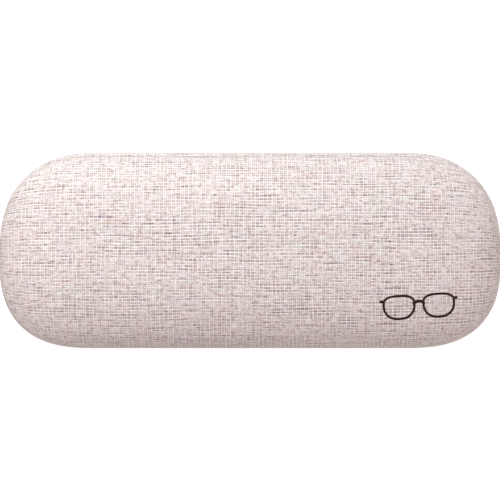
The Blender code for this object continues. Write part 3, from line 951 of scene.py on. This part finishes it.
def linen(name, print_colour=None):
    """Slubbed plain weave: pale yarns, with rosy-brown runs that come and go."""
    n = Nodes(name)
    u, v = n.uv()

    def drift(across, along, freq_across, freq_along, seed, size):
        place = n.vector(n.math("MULTIPLY", across, freq_across),
                         n.math("MULTIPLY", along, freq_along), seed)
        return n.remap(n.noise(place, 1.0, 1.0), 0.3, 0.7, -size, size)

    # the yarns wander, and swell and thin along their length
    v = n.math("ADD", v, drift(u, v, 0.03, 0.10, 0.0, 0.35))
    u = n.math("ADD", u, drift(v, u, 0.05, 0.14, 7.0, 0.3))
    v = n.math("ADD", v, drift(u, v, 0.07, 0.85, 13.0, 0.12))
    u = n.math("ADD", u, drift(v, u, 0.10, 0.75, 17.0, 0.10))
    row = n.math("DIVIDE", v, WEFT_PITCH)
    col = n.math("DIVIDE", u, WARP_PITCH)
    j = n.math("FLOOR", row)
    i = n.math("FLOOR", col)
    fr = n.math("SUBTRACT", row, j)
    fc = n.math("SUBTRACT", col, i)

    def tone(along, number, freq, seed):
        """Tone along a yarn, unrelated from one yarn to the next."""
        place = n.vector(n.math("MULTIPLY", along, freq),
                         n.math("MULTIPLY", number, YARN_SPREAD), seed)
        return n.math("SUBTRACT", n.noise(place, 1.0, 2.0, 0.6), 0.5)

    def yarns(along, number, seed, contrast, streak, fine):
        """Thick pale yarns alternate with thinner dark ones; where one dims, its mate lifts."""
        pair = n.math("FLOOR", n.math("MULTIPLY", number, 0.5))
        sign = n.math("MULTIPLY_ADD", n.math("PINGPONG", number, 1.0), 2.0, -1.0)
        both = n.math("MULTIPLY_ADD", tone(along, pair, streak[0], seed), streak[1], contrast)
        own = n.math("MULTIPLY", tone(along, number, fine[0], seed + 8.0), fine[1])
        return n.math("ADD", n.math("MULTIPLY_ADD", sign, both, 0.5), own)

    weft = yarns(u, j, 3.0, WEFT_CONTRAST, WEFT_STREAK, WEFT_FINE)
    warp = yarns(v, i, 23.0, WARP_CONTRAST, WARP_STREAK, WARP_FINE)

    def dyed(value, along, number, seed, stops):
        """Pale to dark along the tone; the dark end is rusty on some yarns, mauve on others."""
        hue = n.remap(tone(along, number, 0.06, seed), -0.12, 0.12, 0.0, 1.0)
        pale, cream, rose, dark = stops
        light = [(pale, PALE), (cream, CREAM)]
        warm = n.ramp(value, light + [(rose, ROSE_WARM), (dark, RUST)])
        cool = n.ramp(value, light + [(rose, ROSE_COOL), (dark, MAUVE)])
        return n.mix(hue, warm, cool)

    weft_colour = dyed(weft, u, j, 41.0, WEFT_STOPS)
    warp_colour = dyed(warp, v, i, 47.0, WARP_STOPS)

    def crossing(across, number):
        """1 where a yarn goes over the ones it crosses, -1 where it goes under."""
        turn = n.math("ADD", n.math("SUBTRACT", across, 0.5), number)
        return n.math("COSINE", n.math("MULTIPLY", turn, math.pi))

    # which yarn lies on top, and how round each one stands
    over = crossing(col, j)
    under = crossing(row, i)
    round_weft = n.math("SINE", n.math("MULTIPLY", fr, math.pi))
    round_warp = n.math("SINE", n.math("MULTIPLY", fc, math.pi))
    high_weft = n.math("MULTIPLY", round_weft,
                       n.math("MULTIPLY_ADD", over, RISE, WEFT_HEIGHT))
    high_warp = n.math("MULTIPLY", round_warp,
                       n.math("MULTIPLY_ADD", under, -RISE, WARP_HEIGHT))
    top = n.remap(n.math("SUBTRACT", high_weft, high_warp), -0.12, 0.12, 0.0, 1.0)
    height = n.math("MAXIMUM", high_weft, high_warp)
    colour = n.mix(top, warp_colour, weft_colour)
    # painted shade and highlight: each yarn's colour darkens where it lies low and lightens a
    # little on its crown
    colour = n.times(colour, n.remap(height, 0.15, 0.85, 0.62, 1.04))
    # painted shade where the weft sinks between warp threads, deeper along some than others
    gap_shade = n.math("MULTIPLY", n.math("POWER", n.math("SUBTRACT", 1.0, round_warp), 2.0),
                 n.remap(warp, 0.44, 0.68, 0.08, 0.72))
    colour = n.times(colour, n.math("SUBTRACT", 1.0, gap_shade))

    def patches(freq_u, freq_v, seed, detail, size):
        """A factor near 1 that drifts over the cloth."""
        place = n.vector(n.math("MULTIPLY", u, freq_u), n.math("MULTIPLY", v, freq_v), seed)
        return n.remap(n.noise(place, 1.0, detail), 0.3, 0.7, 1 - size, 1 + size)

    # slow drift in tone, as dye and handling leave it
    colour = n.times(colour, patches(0.05, 0.07, 3.0, 2.0, 0.015))
    # small patches lean to pink, beige or grey
    colour = n.times(colour, *(patches(0.16, 0.27, TINT_SEED + 5.0 * k, 1.0, size)
                               for k, size in enumerate(TINT)))
    bloom, gloss = 0.12, 0.15
    if print_colour is not None:
        colour = n.mix(n.remap(height, 0.2, 0.6, 0.93, 0.99), colour, print_colour)
        bloom, gloss = 0.0, 0.02
    n.set(Base_Color=colour, Roughness=0.92, Sheen_Weight=bloom, Sheen_Roughness=0.5,
          Specular_IOR_Level=gloss, Normal=n.bump(height, 0.00012, 0.9))
    n.shader.inputs["Sheen Tint"].default_value = (1, 0.97, 0.95, 1)
    return n.mat


def pile(name):
    """Short flocked pile, brushed a little this way and that."""
    n = Nodes(name)
    place, _ = n.place()
    fine = n.noise(place, 5200.0, 2.0, 0.6)
    brushed = n.noise(place, 45.0, 2.0, 0.5)
    specks = n.noise(place, 2400.0, 3.0, 0.6)
    tone = n.math("ADD", n.math("MULTIPLY", brushed, 0.35), n.math("MULTIPLY", specks, 0.65))
    colour = n.ramp(tone, [(0.36, srgb(62, 49, 46)), (0.5, srgb(84, 68, 63)),
                           (0.64, srgb(112, 94, 87))])
    height = n.math("ADD", n.math("MULTIPLY", fine, 0.5), n.math("MULTIPLY", specks, 0.5))
    n.set(Base_Color=colour, Roughness=0.95, Sheen_Weight=0.55, Sheen_Roughness=0.35,
          Specular_IOR_Level=0.1, Normal=n.bump(height, 0.00025, 0.6))
    n.shader.inputs["Sheen Tint"].default_value = (0.95, 0.85, 0.8, 1)
    return n.mat


def metal(name, colour, rough, axis_scale):
    """Drawn or rolled steel: fine lines one way and faint stains."""
    n = Nodes(name)
    place, xyz = n.place()
    stretched = n.vector(*(n.math("MULTIPLY", c, s) for c, s in zip(xyz, axis_scale)))
    lines = n.noise(stretched, 1.0, 3.0, 0.6)
    stain = n.noise(place, 160.0, 3.0, 0.55)
    dark = tuple(c * 0.72 for c in colour)
    tone = n.mix(n.remap(stain, 0.35, 0.7, 0.0, 1.0), colour, dark)
    n.set(Base_Color=tone, Metallic=1.0,
          Roughness=n.remap(n.math("ADD", lines, n.math("MULTIPLY", stain, 0.3)),
                            0.4, 0.9, rough - 0.08, rough + 0.14),
          Normal=n.bump(lines, 0.00002, 0.5))
    return n.mat


def plastic(name, colour, rough):
    """Moulded plastic with a fine grain and a slow drift in tone."""
    n = Nodes(name)
    place, _ = n.place()
    grain = n.noise(place, 2600.0, 3.0, 0.6)
    drift = n.noise(place, 60.0, 2.0, 0.5)
    light = tuple(min(1.0, c * 1.25) for c in colour)
    n.set(Base_Color=n.mix(n.remap(drift, 0.35, 0.65, 0.0, 1.0), colour, light),
          Roughness=n.remap(grain, 0.3, 0.7, rough - 0.08, rough + 0.1),
          Normal=n.bump(grain, 0.00004, 0.5))
    return n.mat


def foam(name):
    """Pale open cells, with painted shade in their pits."""
    n = Nodes(name)
    place, _ = n.place()
    cells = n.add("ShaderNodeTexVoronoi")
    n.put(cells.inputs["Vector"], place)
    n.put(cells.inputs["Scale"], 1800.0)
    depth = cells.outputs["Distance"]
    # painted shade: the colour darkens toward the pit of each cell, following the bump
    n.set(Base_Color=n.ramp(depth, [(0.0, srgb(196, 190, 176)), (0.6, srgb(232, 228, 216))]),
          Roughness=0.95, Normal=n.bump(depth, 0.0001, 0.6))
    return n.mat


LINEN = linen("linen_weave")
PILE = pile("flocked_pile")
HINGE_STEEL = metal("hinge_steel_satin", (0.74, 0.73, 0.71), 0.30, (300.0, 6000.0, 6000.0))
RIVET_STEEL = metal("rivet_steel_satin", (0.80, 0.79, 0.77), 0.24, (3000.0, 3000.0, 3000.0))
PIN_STEEL = metal("pin_steel_drawn", (0.72, 0.72, 0.71), 0.24, (200.0, 9000.0, 9000.0))
SPRING_STEEL = metal("spring_wire", (0.34, 0.34, 0.36), 0.30, (4000.0, 4000.0, 4000.0))
SHELL_STEEL = metal("tinplate", (0.62, 0.62, 0.63), 0.34, (400.0, 3000.0, 3000.0))
TRAY_PLASTIC = plastic("tray_moulded", srgb(70, 58, 54), 0.55)
FOAM = foam("foam_cells")
INK = linen("printed_ink", srgb(32, 15, 10))


# ---- the pieces ------------------------------------------------------------------------------
# Length, width and area of each oval of cloth as cut, with its turn-ins, in metres.
FLAT_CUTS = {"base": {"cloth": (0.205, 0.1012, 0.0185), "pile": (0.1716, 0.0697, 0.0109)},
             "lid": {"cloth": (0.202, 0.0993, 0.0179), "pile": (0.1684, 0.0678, 0.0104)}}


def fit(piece, body, slot, *nodes):
    """Ride on a body and stand for these solids; slot is not used."""
    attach(piece, body)
    if nodes:
        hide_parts(*nodes)
    return piece


def build_half(prefix, half, spans):
    """All the pieces of one half but the print; returns what the cloth's sheet needs."""
    cloth = fit(build_cover(prefix + "_cloth", half, LINEN), prefix, "linen",
                prefix + "_cover")
    pad = fit(build_layer(prefix + "_foam", half, FOAM_LAYER, FOAM_EDGE, FOAM, WINDOW_TOP),
              prefix, "foam", prefix + "_padding")
    fit(build_layer(prefix + "_pressed_shell", half, SHELL_LAYER, SHELL_EDGE, SHELL_STEEL),
        prefix, "shell_steel", prefix + "_shell")
    tray = fit(build_layer(prefix + "_moulded_tray", half, TRAY_LAYER, TRAY_EDGE,
                           TRAY_PLASTIC, WINDOW_TOP),
               prefix, "tray_plastic", prefix + "_liner_tray")
    lining = fit(build_pile(prefix + "_pile", half, PILE), prefix, "pile",
                 prefix + "_lining")
    fit(build_leaf(prefix + "_rolled_leaf", half, spans), prefix, "hinge_steel",
        "hinge_%s_leaf" % prefix)
    for i, rivet in enumerate(build_rivets(prefix, half)):
        fit(rivet, prefix, "rivet_steel", "hinge_%s_rivet_%d" % (prefix, i + 1))
    cuts = FLAT_CUTS[prefix]
    return cloth, pad, cuts["cloth"]


base_cloth, base_foam, base_cut = build_half("base", BASE, BASE_KNUCKLES)
lid_cloth, lid_foam, lid_cut = build_half("lid", LID, LID_KNUCKLES)
fit(build_pin(), "base", "pin_steel", "hinge_pin")
for side, word in ((-1, "left"), (1, "right")):
    spring = build_spring("coil_spring_" + word, side)
    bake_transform(spring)
    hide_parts("hinge_spring_" + word)
spine = build_spine(LINEN)
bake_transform(spine)
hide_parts("hinge_spine")
ink = fit(build_print(lid_cloth, INK), "lid", None)

# ---- stage -----------------------------------------------------------------------------------
LIGHT = 1.21
SKY = 0.30
COOL = (0.93, 1.0, 1.01)
WARM = (1.06, 1.0, 0.99)
LIGHTS = {"near": ((-0.14, 0.20, 0.30), 0.20, 0.67, COOL),
          "rear": ((0.0, 0.60, 0.20), 0.30, 1.42, COOL),
          "rear_right": ((0.50, 0.45, 0.22), 0.30, 0.22, COOL),
          "left": ((-0.60, 0.0, 0.15), 0.30, 0.52, WARM),
          "right": ((0.60, 0.0, 0.17), 0.30, 0.65, WARM),
          "front": ((0.0, -0.50, 0.45), 0.40, 0.88, WARM)}
COVE_RADIUS = 2.0
COVE_BEND = 0.8
COVE_TOP = 2.4
COVE_SIDES = 64
FLOOR_GAP = 0.0002
CAMERA_DISTANCE = 0.95
PICTURE_WIDTH = 0.1618
SENSOR = 36.0


def build_cove():
    """White floor that curves up into a wall all round; it lights nothing itself."""
    bm = bmesh.new()
    floor_z = CAD_BOX[0][2] - FLOOR_GAP
    profile = [(r, 0.0) for r in (0.0, 0.4, COVE_RADIUS - COVE_BEND)]
    for a in np.linspace(0, np.pi / 2, 12)[1:]:
        profile.append((COVE_RADIUS - COVE_BEND + COVE_BEND * math.sin(a),
                        COVE_BEND - COVE_BEND * math.cos(a)))
    profile.append((COVE_RADIUS, COVE_TOP))
    rows = []
    for radius, height in profile:
        if radius == 0.0:
            rows.append([bm.verts.new((0, 0, floor_z))] * COVE_SIDES)
            continue
        turns = [2 * math.pi * k / COVE_SIDES for k in range(COVE_SIDES)]
        rows.append([bm.verts.new((radius * math.cos(a), radius * math.sin(a), floor_z + height))
                     for a in turns])
    for a, b in zip(rows, rows[1:]):
        for k in range(COVE_SIDES):
            j = (k + 1) % COVE_SIDES
            corners = (a[k], b[k], b[j], a[j]) if a[0] is not a[1] else (a[k], b[k], b[j])
            bm.faces.new(corners)
    n = Nodes("cove_white")
    n.set(Base_Color=(0.8, 0.8, 0.8, 1), Roughness=0.9, Emission_Color=(1, 1, 1, 1),
          Emission_Strength=0.6)
    cove = from_bmesh("floor", bm, n.mat, 180.0)
    cove.visible_diffuse = False
    cove.visible_shadow = False


def build_lights():
    """Soft lamps all round, cooler behind and warmer in front, in a faintly lit room."""
    for name, (place, size, power, colour) in LIGHTS.items():
        light = bpy.data.lights.new(name, "AREA")
        light.shape = "DISK"
        light.size = size
        light.energy = power * LIGHT
        light.color = colour
        obj = new_object(name, light)
        obj.visible_camera = False
        obj.location = place
        obj.rotation_mode = "QUATERNION"
        direction = Vector((0, 0, 0.02)) - Vector(place)
        obj.rotation_quaternion = direction.to_track_quat("-Z", "Y")
    world = bpy.data.worlds.new("studio")
    bpy.context.scene.world = world
    world.use_nodes = True
    background = world.node_tree.nodes["Background"]
    background.inputs["Color"].default_value = (*WARM, 1)
    background.inputs["Strength"].default_value = SKY * LIGHT


def build_camera():
    """Straight above the middle of the lid, from almost a metre."""
    data = bpy.data.cameras.new("camera")
    data.sensor_width = SENSOR
    data.lens = SENSOR * CAMERA_DISTANCE / PICTURE_WIDTH
    data.clip_start = 0.05
    data.clip_end = 20.0
    camera = new_object("camera", data)
    camera.location = (0.0, 0.0, PART_Z * MM + CAMERA_DISTANCE)
    camera.rotation_euler = (0, 0, 0)
    bpy.context.scene.camera = camera
    bpy.context.scene.view_settings.view_transform = "Standard"
    bpy.context.scene.view_settings.look = "None"


build_cove()
build_lights()
build_camera()

bpy.context.view_layer.update()
